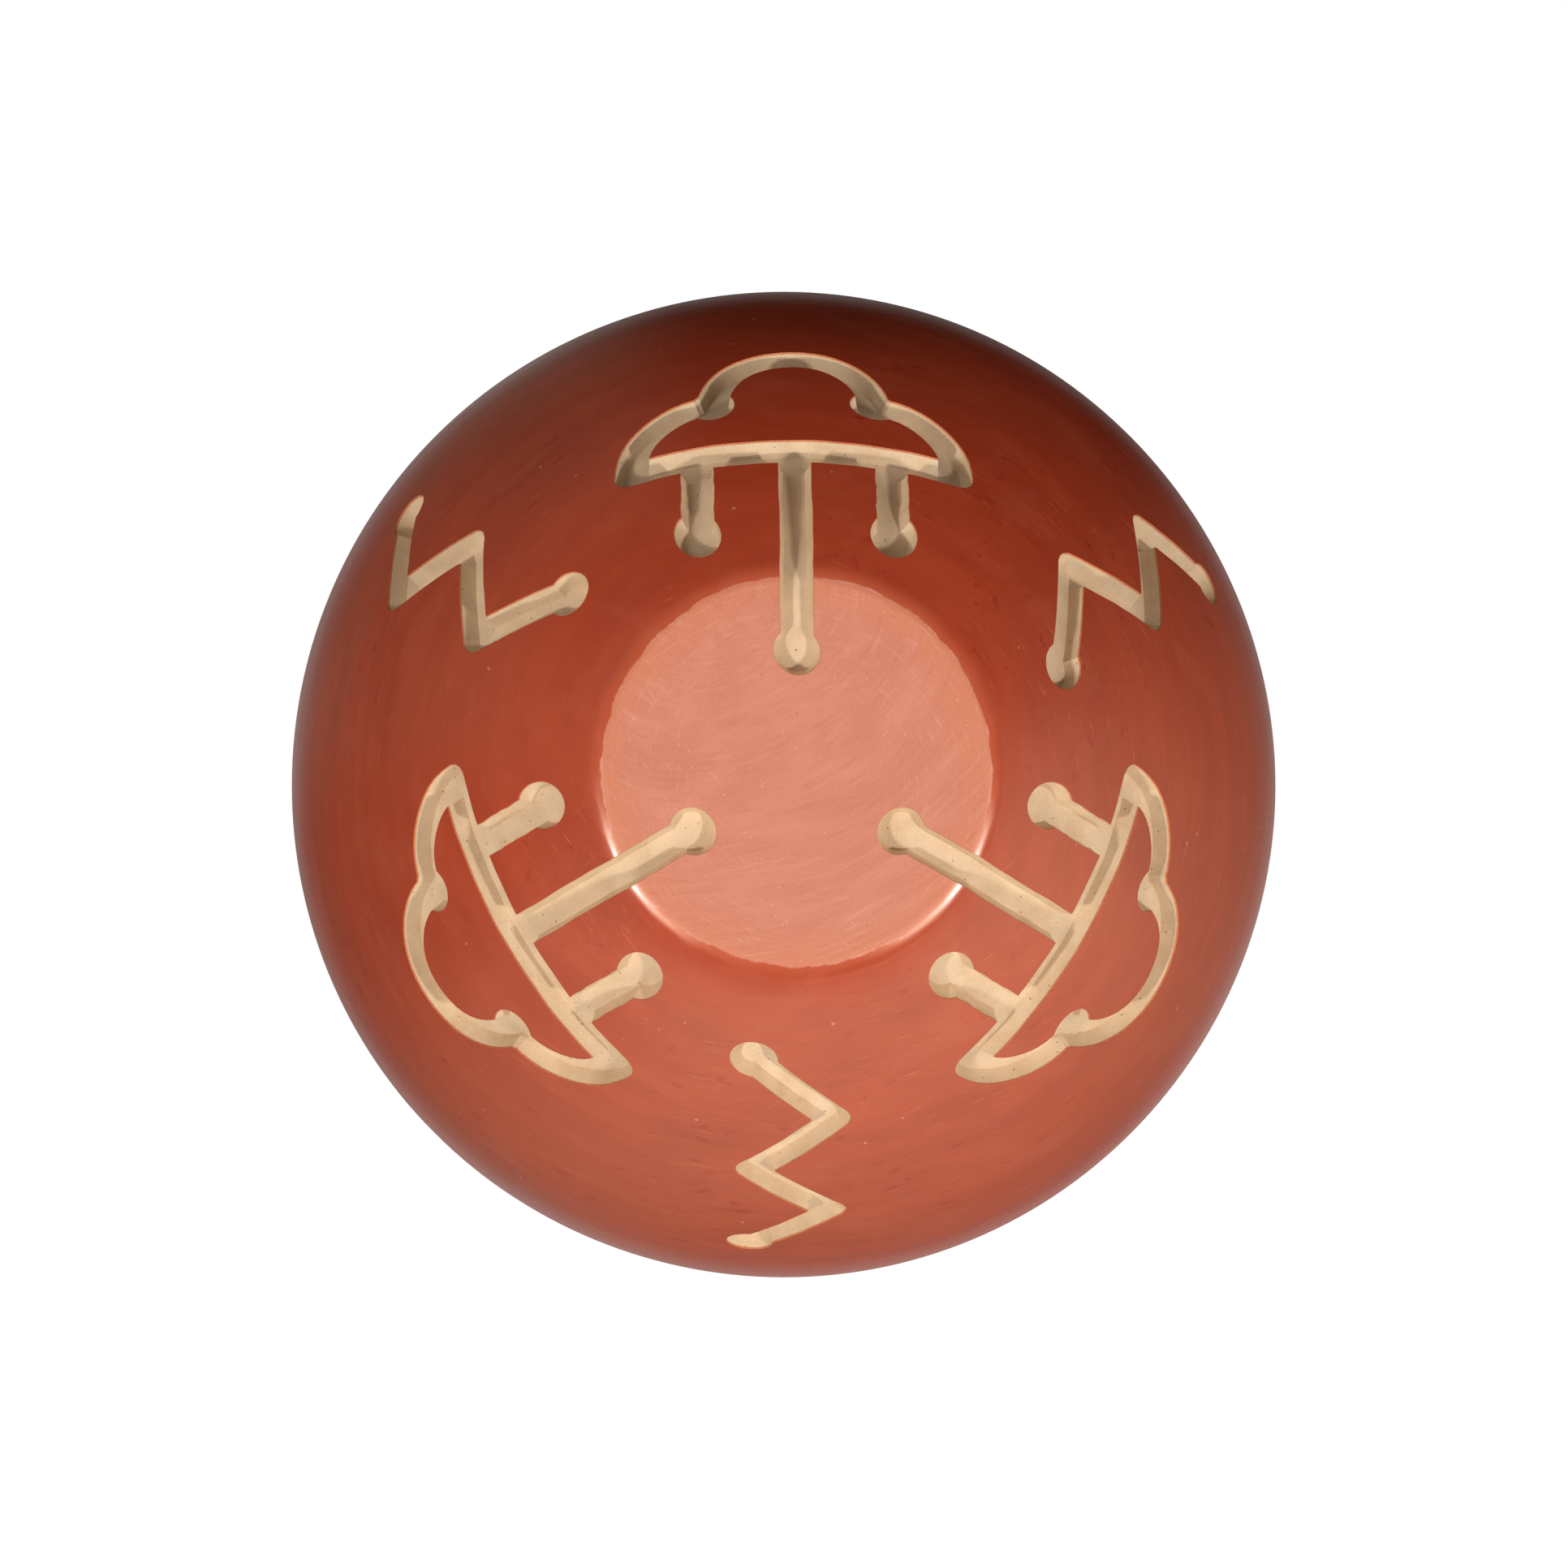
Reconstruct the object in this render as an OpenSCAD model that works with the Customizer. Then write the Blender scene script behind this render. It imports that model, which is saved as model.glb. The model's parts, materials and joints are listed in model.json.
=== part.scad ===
// Carved pottery jar: a slab base and coils of clay, a burnished red coat, a matte base
// and channels cut through the coat. The jar stands on z = 0, with its axis along Z.

/* [Body] */
// Largest outside radius of the jar, at its belly
belly_r = 105; // [100:1:110]
// Height of the belly above the base
belly_h = 115; // [110:1:120]
// Radius at which the curve of the wall would meet the base
base_r = 38; // [36:1:41]
// Distance from the edge of the flat base in which the foot is bevelled
foot_bevel = 1.5; // [1:0.25:2.5]
// Radius of the arc that turns the shoulder inwards
shoulder_round = 50; // [47:1:53]
// Thickness of the wall, with its coat
wall_t = 8; // [7:0.5:9]
// Thickness of the base, with its coat
base_t = 9; // [8:0.5:11]

/* [Neck and lip] */
// Outside radius of the throat, the narrowest ring of the neck
throat_r = 50; // [47:1:53]
// Radius of the hollow curve of the neck
neck_round = 14; // [12:1:16]
// Angle through which the lip flares out above the throat
lip_flare = 30; // [20:5:40]
// Distance that the rounded lip stands proud of each side of the wall
lip_bulge = 0.6; // [0.4:0.1:1]

/* [Clay pieces] */
// Distance that the turned-up edge of the base slab reaches outside the edge of the base
slab_edge = 18; // [16:0.5:20]
// Angle of the shoulder, up from the belly, at which the neck coil is laid
neck_angle = 74; // [68:1:76]
// Distance that each coil laps down inside the one below
coil_lap = 5; // [3:0.5:6]

/* [Slip] */
// Thickness of each coat of slip
slip_t = 0.4; // [0.3:0.05:0.6]

/* [Carving] */
// Depth of the carving below the surface
carve_depth = 4; // [3:0.25:4.5]
// Width of a carved channel
channel_w = 6.5; // [5:0.5:7]
// Diameter of the round end of a channel
end_d = 9; // [8:0.5:10]
// Number of rain clouds around the lower body, each followed by a stroke of lightning
cloud_count = 3; // [2:1:3]
// Angle of the wall, up from the base, at which a cloud is centred
cloud_angle = 50; // [48:1:54]
// Radius of each of a cloud's three lobes
lobe_r = 16; // [14:0.5:17]
// Spacing of the rain lines under a cloud
rain_pitch = 19; // [16:0.5:20]
// Distance that the middle rain line runs in from the edge of the base
rain_reach = 15; // [10:1:20]
// Length of the rain lines beside the middle one, seen from below
rain_side_len = 18; // [14:1:20]
// Angle of the wall, up from the base, at which the lightning is centred
lightning_angle = 53; // [50:1:56]
// Width and height of one stroke of the lightning
lightning_step = 16; // [14:0.5:18]
// Number of feathers around the shoulder
feather_count = 18; // [12:1:20]
// Angle of the shoulder, up from the belly, at which the feathers are centred
feather_angle = 36; // [30:1:42]
// Length of a feather
feather_l = 27; // [22:1:30]
// Width of a feather
feather_w = 11; // [9:0.5:13]

/* [Hidden] */
$fn = 96;
// Coils below and above the belly, each one a node
lower_coils = 6;
shoulder_coils = 3;
// Slope of the bevel around the base, and angle of the crease where the shoulder meets the neck
foot_angle = 14;
crease_angle = 15;
// Arc of the lower wall, upright at the belly and through the edge of the base
lower_r = to_hundredth(((belly_r - base_r) ^ 2 + belly_h ^ 2) / (2 * (belly_r - base_r)));
lower_c = [belly_r - lower_r, belly_h];
flat_r = base_r - foot_bevel;
// Arc of the shoulder, and the hollow arc of the neck that meets it in a soft crease
shoulder_c = [belly_r - shoulder_round, belly_h];
neck_reach2 = shoulder_round ^ 2 + neck_round ^ 2 + 2 * shoulder_round * neck_round * cos(crease_angle);
neck_out = throat_r + neck_round;
neck_c = [neck_out, belly_h + to_hundredth(sqrt(neck_reach2 - (neck_out - shoulder_c[0]) ^ 2))];
lip_angle = 180 - lip_flare;
lip_c = neck_c + (neck_round + wall_t / 2) * dir(lip_angle);
lip_r = wall_t / 2 + lip_bulge;
// Distance from the axis of a cloud's foot line, and of the rain's start, which opens into it
foot_line_r = wall_point(cloud_angle)[0] - lobe_r * cos(cloud_angle);
rain_lap = 1.2;
rain_start_r = foot_line_r - channel_w + rain_lap;
// Angles at which the coils meet on the outside, from the edge of the base slab up
slab_r = base_r + slab_edge;
slab_angle = -acos((slab_r - lower_c[0]) / lower_r);
lower_step = -slab_angle / lower_coils;
shoulder_step = neck_angle / shoulder_coils;
// Depth to which a joint runs straight in, past the carving, before it laps down
joint_margin = 0.75;
joint_depth = carve_depth + joint_margin;
// Reach of a cut past the surface that it cuts
clear = 2;
joint_clear = 10;
cut_below = 35;
neck_top = lip_c[1] + 2 * lip_r;
far = 2 * belly_r;

clay = [0.87, 0.74, 0.58];
red = [0.62, 0.23, 0.15];
pink = [0.86, 0.55, 0.45];

function to_hundredth(x) = round(x * 100) / 100;
function dir(a) = [cos(a), sin(a)];
// Points on the outside of the lower wall and of the shoulder, by the lean of the wall there
function wall_point(a) = lower_c + lower_r * dir(a - 90);
function shoulder_point(a) = shoulder_c + shoulder_round * dir(a);

// Joint between two coils, from outside the wall to inside: straight in, then lapped down
function joint(c, r_out, r_in, a, side) =
    let (inward = side * -dir(a))
    let (p = c + r_out * dir(a))
    let (m = p + joint_depth * inward)
    let (q = c + r_in * dir(a - side * coil_lap / r_in * 180 / PI))
    [p - joint_clear * inward, m, q + joint_clear * (q - m) / norm(q - m)];
function lower_joint(i) = joint(lower_c, lower_r, lower_r - wall_t, slab_angle + i * lower_step, 1);
function shoulder_joint(i) =
    joint(shoulder_c, shoulder_round, shoulder_round - wall_t, i * shoulder_step, 1);
function throat_joint() = joint(neck_c, neck_round, neck_round + wall_t, 180, -1);

// Section of all that lies deeper than this below the outside, up past the lip
module inside(depth) {
    intersection() {
        translate(lower_c) circle(lower_r - depth);
        translate([-clear, depth]) square([far, belly_h - depth]);
        translate([flat_r, 0]) rotate(foot_angle) translate([-far, depth]) square(2 * far);
    }
    difference() {
        union() {
            intersection() {
                translate(shoulder_c) circle(shoulder_round - depth);
                translate([0, belly_h]) square(far);
            }
            translate([-clear, belly_h]) square([neck_out + clear, neck_top - belly_h]);
        }
        translate(neck_c) circle(neck_round + depth);
    }
}

// Section of the room inside the jar
module hollow() {
    intersection() {
        inside(wall_t);
        translate([-clear, base_t]) square(far);
    }
}

// Everything on the jar's side of the line across the wall where the lip starts
module below_lip() {
    polygon([
        [0, -clear], [far, -clear], [far, neck_c[1]], neck_c, [0, neck_c[1] + neck_out * tan(lip_flare)]
    ]);
}

// Ring of clay between two joints, with its share of the carving cut out of it
module coil(from, to) {
    color(clay) difference() {
        rotate_extrude() intersection() {
            inside(slip_t);
            polygon([from[0], from[1], from[2], to[2], to[1], to[0]]);
        }
        rotate_extrude() intersection() {
            hollow();
            square([far, neck_top]);
        }
        children();
    }
}

// Straight channel with square corners along a list of points
module channel(points) {
    for (i = [0:len(points) - 2]) {
        run = points[i + 1] - points[i];
        translate(points[i]) rotate(atan2(run[1], run[0])) translate([-channel_w / 2, -channel_w / 2])
            square([norm(run) + channel_w, channel_w]);
    }
}

// Pointed oval, with its length along Y
module oval(length, width) {
    r = ((length / 2) ^ 2 + (width / 2) ^ 2) / width;
    intersection() {
        translate([r - width / 2, 0]) circle(r);
        translate([width / 2 - r, 0]) circle(r);
    }
}

// Curved channel around the origin, in the quarters that start at these angles
module arc_channel(quarters) {
    intersection() {
        difference() {
            circle(lobe_r + channel_w / 2);
            circle(lobe_r - channel_w / 2);
        }
        for (turn = quarters) rotate(turn) square(2 * lobe_r);
    }
}

// Cloud of three lobes on a foot line, drawn from its middle
module cloud() {
    translate([0, -lobe_r]) channel([[-2 * lobe_r, 0], [2 * lobe_r, 0]]);
    arc_channel([0, 90]);
    translate([lobe_r, -lobe_r]) arc_channel([0]);
    translate([-lobe_r, -lobe_r]) arc_channel([90]);
    for (side = [-1, 1]) translate([side * lobe_r, 0]) circle(d = end_d);
}

// Stroke of lightning in four straight cuts with round ends
module lightning() {
    points = [for (i = [-2:2]) lightning_step * [i % 2 == 0 ? 0.5 : -0.5, i]];
    channel(points);
    for (p = [points[0], points[4]]) translate(p) circle(d = end_d);
}

// Rain line from the foot line of a cloud in towards the axis, seen from below
module rain_line(offset, end_r) {
    channel([[rain_start_r, offset], [end_r, offset]]);
    translate([end_r, offset]) circle(d = end_d);
}

// Puts a flat drawing on the wall, square to it at a point of its section
module on_wall(turn, point, lean) {
    rotate(turn) translate([point[0], 0, point[1]]) rotate([0, 90 - lean, 0]) rotate([90, 0, 90])
        translate([0, 0, -cut_below]) linear_extrude(cut_below + joint_clear) children();
}

// The jar below the depth of the carving
module core() {
    rotate_extrude() intersection() {
        inside(carve_depth);
        square([far, neck_top]);
    }
}

// Clouds, rain and lightning, cut into the base and the lower wall
module lower_carving() {
    difference() {
        for (i = [0:cloud_count - 1]) {
            turn = i * 360 / cloud_count - 90;
            on_wall(turn, wall_point(cloud_angle), cloud_angle) cloud();
            rotate(turn) translate([0, 0, -clear]) linear_extrude(belly_h) {
                rain_line(0, base_r - rain_reach);
                for (side = [-1, 1]) rain_line(side * rain_pitch, foot_line_r - rain_side_len);
            }
            on_wall(turn + 180 / cloud_count, wall_point(lightning_angle), lightning_angle) lightning();
        }
        core();
    }
}

// Feathers cut into the shoulder
module shoulder_carving() {
    difference() {
        for (i = [0:feather_count - 1])
            on_wall(i * 360 / feather_count, shoulder_point(feather_angle), 90 + feather_angle)
                oval(feather_l, feather_w);
        core();
    }
}

// Pressed slab of the base, with its edge turned up to take the first coil
module base_slab() {
    top = lower_joint(0);
    color(clay) difference() {
        rotate_extrude() intersection() {
            difference() {
                inside(slip_t);
                hollow();
            }
            polygon([[0, -clear], [top[0][0], -clear], top[0], top[1], top[2], [0, top[2][1]]]);
        }
        lower_carving();
    }
}

// Coils of the lower wall, from the slab to the belly
module wall_coil(i) {
    coil(lower_joint(i - 1), lower_joint(i)) lower_carving();
}

// Coils that draw the wall in above the belly
module shoulder_coil(i) {
    below = i == 1 ? lower_joint(lower_coils) : shoulder_joint(i - 1);
    coil(below, shoulder_joint(i)) shoulder_carving();
}

// Coil that turns the shoulder up into the neck
module neck_coil() {
    coil(shoulder_joint(shoulder_coils), throat_joint());
}

// Last coil, with the rounded lip
module rim_coil() {
    low = throat_joint();
    color(clay) rotate_extrude() {
        intersection() {
            difference() {
                inside(slip_t);
                hollow();
            }
            below_lip();
            polygon([low[0], low[1], low[2], [low[2][0], neck_top], [low[0][0], neck_top]]);
        }
        translate(lip_c) circle(lip_r - slip_t);
    }
}

// Burnished red coat from the foot up over the lip
module red_slip() {
    color(red) difference() {
        rotate_extrude() {
            intersection() {
                difference() {
                    inside(0);
                    inside(slip_t);
                }
                below_lip();
                translate([flat_r, -clear]) square(far);
            }
            difference() {
                translate(lip_c) circle(lip_r);
                translate(lip_c) circle(lip_r - slip_t);
                intersection() {
                    inside(slip_t);
                    below_lip();
                }
            }
        }
        lower_carving();
        shoulder_carving();
    }
}

// Thin unpolished coat under the base
module base_slip() {
    color(pink) difference() {
        cylinder(r = flat_r, h = slip_t);
        lower_carving();
    }
}

base_slab();
wall_coil(1);  // wall_coil_1
wall_coil(2);  // wall_coil_2
wall_coil(3);  // wall_coil_3
wall_coil(4);  // wall_coil_4
wall_coil(5);  // wall_coil_5
wall_coil(6);  // wall_coil_6
shoulder_coil(1);  // shoulder_coil_1
shoulder_coil(2);  // shoulder_coil_2
shoulder_coil(3);  // shoulder_coil_3
neck_coil();
rim_coil();
red_slip();
base_slip();
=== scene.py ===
import json
import math

import bmesh
import bpy
import numpy as np
from mathutils import Matrix, Vector

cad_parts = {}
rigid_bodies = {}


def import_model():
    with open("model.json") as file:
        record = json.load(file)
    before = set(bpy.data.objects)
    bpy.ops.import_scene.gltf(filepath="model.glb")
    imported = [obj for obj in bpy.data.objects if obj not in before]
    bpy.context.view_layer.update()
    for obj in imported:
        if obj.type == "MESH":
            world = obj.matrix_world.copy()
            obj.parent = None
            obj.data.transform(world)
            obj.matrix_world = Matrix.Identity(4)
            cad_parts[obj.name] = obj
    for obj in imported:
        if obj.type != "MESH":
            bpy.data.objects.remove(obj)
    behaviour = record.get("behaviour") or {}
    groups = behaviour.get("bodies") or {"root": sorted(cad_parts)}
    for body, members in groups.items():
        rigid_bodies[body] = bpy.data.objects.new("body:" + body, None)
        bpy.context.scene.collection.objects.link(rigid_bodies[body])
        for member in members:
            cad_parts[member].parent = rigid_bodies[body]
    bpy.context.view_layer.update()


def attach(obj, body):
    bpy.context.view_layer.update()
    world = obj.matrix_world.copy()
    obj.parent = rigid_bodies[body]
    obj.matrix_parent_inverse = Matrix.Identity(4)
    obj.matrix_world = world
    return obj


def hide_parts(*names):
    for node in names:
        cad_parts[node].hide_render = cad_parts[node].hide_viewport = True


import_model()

bpy.ops.object.select_all(action="DESELECT")

# Base slab: a flat disc of tempered clay, pressed out by hand. Its edge is turned up to take
# the first coil, and its upper face, wiped smooth, is the floor inside the jar.
MM = 0.001
AROUND = 240
SLIP_T = 0.4
WALL_T = 8.0
BASE_T = 9.0
WALL_C = (-27.19, 115.0)
WALL_R = 132.19
FOOT_ROUND = 8.0
FLOOR_ROUND = 20.0
SLAB_R = 56.0
JOINT_DEPTH = 4.75
COIL_LAP = 5.0
COIL_STEPS = 8
FLAT_STEPS = 12
FOOT_STEPS = 10
FOOT_WALL_STEPS = 6
FLOOR_STEPS = 8
MERGE_GAP = 1e-7
SLAB_ANGLE = -math.degrees(math.acos((SLAB_R - WALL_C[0]) / WALL_R))


def arc(centre, radius, start, end, steps):
    """Points of a section along an arc, from one angle to another in degrees."""
    turns = [math.radians(start + (end - start) * i / steps) for i in range(steps + 1)]
    return [(centre[0] + radius * math.cos(a), centre[1] + radius * math.sin(a)) for a in turns]


def corner_round(height, radius, wall_r):
    """Centre of the rounding between a level floor and the wall, and its angle at the wall."""
    z = height + radius
    reach = wall_r - radius
    out = math.sqrt(reach ** 2 - (WALL_C[1] - z) ** 2)
    return (WALL_C[0] + out, z), math.degrees(math.atan2(z - WALL_C[1], out))


def lap_angle(radius):
    """Angle by which a joint runs down between the outside and the inside of the wall."""
    return math.degrees(COIL_LAP / radius)


def joint_step(centre, radius, angle):
    """Point of a joint, past the depth of the carving, where it turns down into its lap."""
    return arc(centre, radius, angle, angle, 1)[:1]


def foot_line(depth):
    """Outside of the foot at a depth below the surface, from the axis to the first joint."""
    centre, meet = corner_round(0.0, FOOT_ROUND, WALL_R)
    flat = [(centre[0] * i / FLAT_STEPS, depth) for i in range(FLAT_STEPS)]
    edge = arc(centre, FOOT_ROUND - depth, -90, meet, FOOT_STEPS)
    wall = arc(WALL_C, WALL_R - depth, meet, SLAB_ANGLE, FOOT_WALL_STEPS)
    return flat + edge + wall[1:]


def turned(name, section, closed):
    """Draws a section point by point beside the axis and spins it into a closed piece."""
    points = [Vector((r * MM, 0, z * MM)) for r, z in section]
    if closed:
        points.append(points[0])
    bpy.ops.object.select_all(action="DESELECT")
    bpy.ops.mesh.primitive_plane_add(size=MM)
    piece = bpy.context.object
    piece.name = name
    piece.data.name = name
    bpy.ops.object.mode_set(mode="EDIT")
    bpy.ops.mesh.select_all(action="SELECT")
    bpy.ops.mesh.merge(type="CENTER")
    bpy.ops.transform.translate(value=points[0])
    for here, there in zip(points, points[1:]):
        bpy.ops.mesh.extrude_region_move(TRANSFORM_OT_translate={"value": there - here})
    bpy.ops.mesh.select_all(action="SELECT")
    bpy.ops.mesh.remove_doubles(threshold=MERGE_GAP)
    bpy.ops.mesh.spin(steps=AROUND, angle=2 * math.pi, center=(0, 0, 0), axis=(0, 0, 1))
    bpy.ops.mesh.select_all(action="SELECT")
    bpy.ops.mesh.remove_doubles(threshold=MERGE_GAP)
    bpy.ops.mesh.normals_make_consistent(inside=False)
    bpy.ops.object.mode_set(mode="OBJECT")
    return piece


def add_node(tree, kind, inputs=None, **settings):
    """Adds a node, with its settings, and its inputs as values or as sockets to link."""
    node = tree.nodes.new(kind)
    for key, value in settings.items():
        setattr(node, key, value)
    for key, value in (inputs or {}).items():
        if isinstance(value, bpy.types.NodeSocket):
            tree.links.new(value, node.inputs[key])
        else:
            node.inputs[key].default_value = value
    return node


def calc(tree, operation, first, second=0.0):
    """Sum, product or the like of two values."""
    return add_node(tree, "ShaderNodeMath", {0: first, 1: second}, operation=operation).outputs[0]


def ranged(tree, value, low, high, to_low=0.0, to_high=1.0):
    """Value between two limits, eased at both ends."""
    inputs = {0: value, 1: low, 2: high, 3: to_low, 4: to_high}
    return add_node(tree, "ShaderNodeMapRange", inputs, interpolation_type="SMOOTHSTEP").outputs[0]


def mixed(tree, factor, first, second):
    """Colour between two others."""
    inputs = {0: factor, 6: first, 7: second}
    return add_node(tree, "ShaderNodeMix", inputs, data_type="RGBA").outputs[2]


def noise(tree, where, scale, detail=3.0, roughness=0.55):
    """Cloudy value from 0 to 1."""
    inputs = {"Vector": where, "Scale": scale, "Detail": detail, "Roughness": roughness}
    return add_node(tree, "ShaderNodeTexNoise", inputs).outputs[0]


def from_axis(tree, where):
    """Parts of a place or a direction, and its distance from the upright axis."""
    axes = add_node(tree, "ShaderNodeSeparateXYZ", {0: where}).outputs
    squares = [calc(tree, "MULTIPLY", axis, axis) for axis in axes[:2]]
    return axes, calc(tree, "SQRT", calc(tree, "ADD", *squares))


def new_effect(name, values, outputs):
    """Node group that reads a place and some values, and puts out masks."""
    tree = bpy.data.node_groups.new(name, "ShaderNodeTree")
    tree.interface.new_socket(name="Place", in_out="INPUT", socket_type="NodeSocketVector")
    for value in values:
        tree.interface.new_socket(name=value, in_out="INPUT", socket_type="NodeSocketFloat")
    for output in outputs:
        tree.interface.new_socket(name=output, in_out="OUTPUT", socket_type="NodeSocketFloat")
    return tree, tree.nodes.new("NodeGroupInput").outputs, tree.nodes.new("NodeGroupOutput").inputs


def effect(tree, group, where, **values):
    """Places an effect in a material with its own values."""
    node = tree.nodes.new("ShaderNodeGroup")
    node.node_tree = group
    tree.links.new(where, node.inputs["Place"])
    for key, value in values.items():
        node.inputs[key].default_value = value
    return node.outputs


def new_material(name):
    """Material, its nodes, the sockets of its shader, and the place on the piece."""
    made = bpy.data.materials.new(name)
    made.use_nodes = True
    tree = made.node_tree
    where = add_node(tree, "ShaderNodeTexCoord").outputs["Object"]
    return made, tree, tree.nodes["Principled BSDF"].inputs, where


def bump(tree, height, strength, distance):
    """Surface direction for a height that is too fine to model."""
    inputs = {"Height": height, "Strength": strength, "Distance": distance}
    return add_node(tree, "ShaderNodeBump", inputs).outputs[0]


# Marks that run around the jar, left by a hand, cloth or stone while it is turned
RUB_LEAN = 0.55
RUB_DRIFT_SCALE = 14.0
rub_marks, give, take = new_effect("rub_marks", ("Around", "Across", "Drift"), ("Marks",))
axes, radius = from_axis(rub_marks, give["Place"])
radius = calc(rub_marks, "MAXIMUM", radius, 1e-4)
wrapped = {}
for i in (0, 1):
    share = calc(rub_marks, "DIVIDE", axes[i], radius)
    wrapped[i] = calc(rub_marks, "MULTIPLY", share, give["Around"])
climb = calc(rub_marks, "ADD", axes[2], calc(rub_marks, "MULTIPLY", radius, RUB_LEAN))
drift = noise(rub_marks, give["Place"], RUB_DRIFT_SCALE, 1.0)
drift = calc(rub_marks, "SUBTRACT", drift, 0.5)
climb = calc(rub_marks, "ADD", climb, calc(rub_marks, "MULTIPLY", drift, give["Drift"]))
wrapped[2] = calc(rub_marks, "MULTIPLY", climb, give["Across"])
wrapped = add_node(rub_marks, "ShaderNodeCombineXYZ", wrapped).outputs[0]
rub_marks.links.new(noise(rub_marks, wrapped, 1.0, 3.0, 0.6), take["Marks"])

# Grain of the clay and the pits left by burnt-out temper
clay_grit, give, take = new_effect("clay_grit", ("Fine", "Cells", "Rarity"), ("Grain", "Pits"))
grain_in = {"Vector": give["Place"], "Scale": give["Fine"], "Detail": 3.0, "Roughness": 0.7}
grain = add_node(clay_grit, "ShaderNodeTexNoise", grain_in).outputs[0]
clay_grit.links.new(grain, take["Grain"])
cells = {"Vector": give["Place"], "Scale": give["Cells"]}
cells = add_node(clay_grit, "ShaderNodeTexVoronoi", cells).outputs
near = ranged(clay_grit, cells["Distance"], 0.08, 0.2, 1.0, 0.0)
chosen = add_node(clay_grit, "ShaderNodeSeparateColor", {0: cells["Color"]}).outputs[0]
chosen = calc(clay_grit, "GREATER_THAN", chosen, give["Rarity"])
clay_grit.links.new(calc(clay_grit, "MULTIPLY", near, chosen), take["Pits"])

# Clay wiped smooth on the inside, a little darker where the smoke reached it
WIPED_DARK, WIPED_LIGHT = (0.52, 0.31, 0.17, 1), (0.62, 0.39, 0.23, 1)
SMOKED = (0.50, 0.27, 0.15, 1)
TEMPER_PIT = (0.25, 0.14, 0.08, 1)
inner_clay, tree, sockets, where = new_material("inner_clay")
wiping = effect(tree, rub_marks, where, Around=3.0, Across=420.0, Drift=0.006)["Marks"]
grit = effect(tree, clay_grit, where, Fine=1800.0, Cells=420.0, Rarity=0.8)
tone = mixed(tree, ranged(tree, wiping, 0.3, 0.7), WIPED_DARK, WIPED_LIGHT)
tone = mixed(tree, ranged(tree, noise(tree, where, 22.0), 0.35, 0.7), tone, SMOKED)
tone = mixed(tree, calc(tree, "MULTIPLY", grit["Pits"], 0.6), tone, TEMPER_PIT)
tree.links.new(tone, sockets["Base Color"])
tree.links.new(ranged(tree, grit["Grain"], 0.2, 0.8, 0.72, 0.9), sockets["Roughness"])
height = calc(tree, "ADD", calc(tree, "MULTIPLY", wiping, 1.5), grit["Grain"])
tree.links.new(bump(tree, height, 0.5, 0.00012), sockets["Normal"])

inner_r = WALL_R - WALL_T
floor_c, floor_meet = corner_round(BASE_T, FLOOR_ROUND, inner_r)
floor_line = [(floor_c[0] * i / FLOOR_STEPS, BASE_T) for i in range(FLOOR_STEPS)]
floor_line += arc(floor_c, FLOOR_ROUND, -90, floor_meet, FLOOR_STEPS)
floor_line += arc(WALL_C, inner_r, floor_meet, SLAB_ANGLE - lap_angle(inner_r), 2)[1:]
slab_joint = joint_step(WALL_C, WALL_R - JOINT_DEPTH, SLAB_ANGLE)
slab_section = foot_line(SLIP_T) + slab_joint + floor_line[::-1]
pieces = {"base_slab": turned("base_slab", slab_section, False)}

# Wall coils: ropes of clay laid ring on ring up to the belly, each lapped down inside the one
# below and pinched to it, then scraped with a gourd until the seams are gone.
WALL_COILS = 6
wall_step = -SLAB_ANGLE / WALL_COILS


def wall_line(depth, start, end):
    """Part of the lower wall's section at a depth, between two joints counted from the slab."""
    lap = lap_angle(WALL_R - depth) if depth == WALL_T else 0.0
    from_angle = SLAB_ANGLE + start * wall_step - lap
    to_angle = SLAB_ANGLE + end * wall_step - lap
    return arc(WALL_C, WALL_R - depth, from_angle, to_angle, COIL_STEPS * (end - start))


def wall_joint(count):
    """Step of the joint that is so many coils above the slab."""
    return joint_step(WALL_C, WALL_R - JOINT_DEPTH, SLAB_ANGLE + count * wall_step)


for i in range(WALL_COILS):
    name = "wall_coil_%d" % (i + 1)
    low, high = wall_joint(i), wall_joint(i + 1)
    section = wall_line(SLIP_T, i, i + 1) + high + wall_line(WALL_T, i, i + 1)[::-1] + low
    pieces[name] = turned(name, section, True)

# Shoulder coils: the next rings, each a little shorter than the last, so that the wall closes
# in above the belly. They are lapped, pinched and scraped like the rest.
SHOULDER_C = (55.0, 115.0)
SHOULDER_R = 50.0
SHOULDER_COILS = 3
NECK_START = 74.0
shoulder_step = NECK_START / SHOULDER_COILS


def shoulder_line(depth, start, end):
    """Part of the shoulder's section at a depth, between two joints counted from the belly."""
    radius = SHOULDER_R - depth
    lap = lap_angle(radius) if depth == WALL_T else 0.0
    belly = []
    from_angle = start * shoulder_step - lap
    if start == 0 and lap:
        belly = arc(WALL_C, WALL_R - depth, -lap_angle(WALL_R - depth), 0, 2)[:-1]
        from_angle = 0
    to_angle = end * shoulder_step - lap
    return belly + arc(SHOULDER_C, radius, from_angle, to_angle, COIL_STEPS * (end - start))


def shoulder_joint(count):
    """Step of the joint that is so many coils above the belly."""
    return joint_step(SHOULDER_C, SHOULDER_R - JOINT_DEPTH, count * shoulder_step)


for i in range(SHOULDER_COILS):
    name = "shoulder_coil_%d" % (i + 1)
    low, high = shoulder_joint(i), shoulder_joint(i + 1)
    section = shoulder_line(SLIP_T, i, i + 1) + high + shoulder_line(WALL_T, i, i + 1)[::-1] + low
    pieces[name] = turned(name, section, True)

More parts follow.
